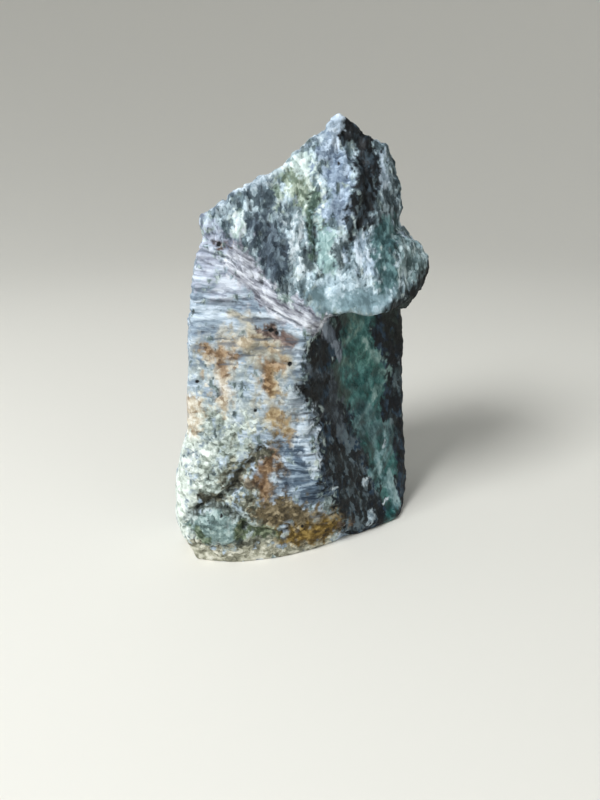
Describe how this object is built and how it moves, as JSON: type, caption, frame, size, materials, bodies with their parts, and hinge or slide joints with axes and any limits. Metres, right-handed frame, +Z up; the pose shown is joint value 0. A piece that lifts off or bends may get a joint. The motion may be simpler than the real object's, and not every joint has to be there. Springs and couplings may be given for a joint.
{
  "type": "raw soapstone block",
  "caption": "Rough upright block of raw soapstone with a flat foot, a pointed head and a recess split out below it.",
  "frame": {"origin": "under the middle of the block's bounding box, on the plane of its flat foot", "axes": "+Z up along the block's height, the face with the split recess looks along -Y, and the overhanging bulge is on the +X side"},
  "size_m": [0.1159, 0.0925, 0.1818],
  "materials": {
    "soapstone": "rough, dull, grey-green with pale and rusty patches"
  },
  "bodies": {
    "root": {"soapstone_block": "soapstone"}
  },
  "joints": []
}
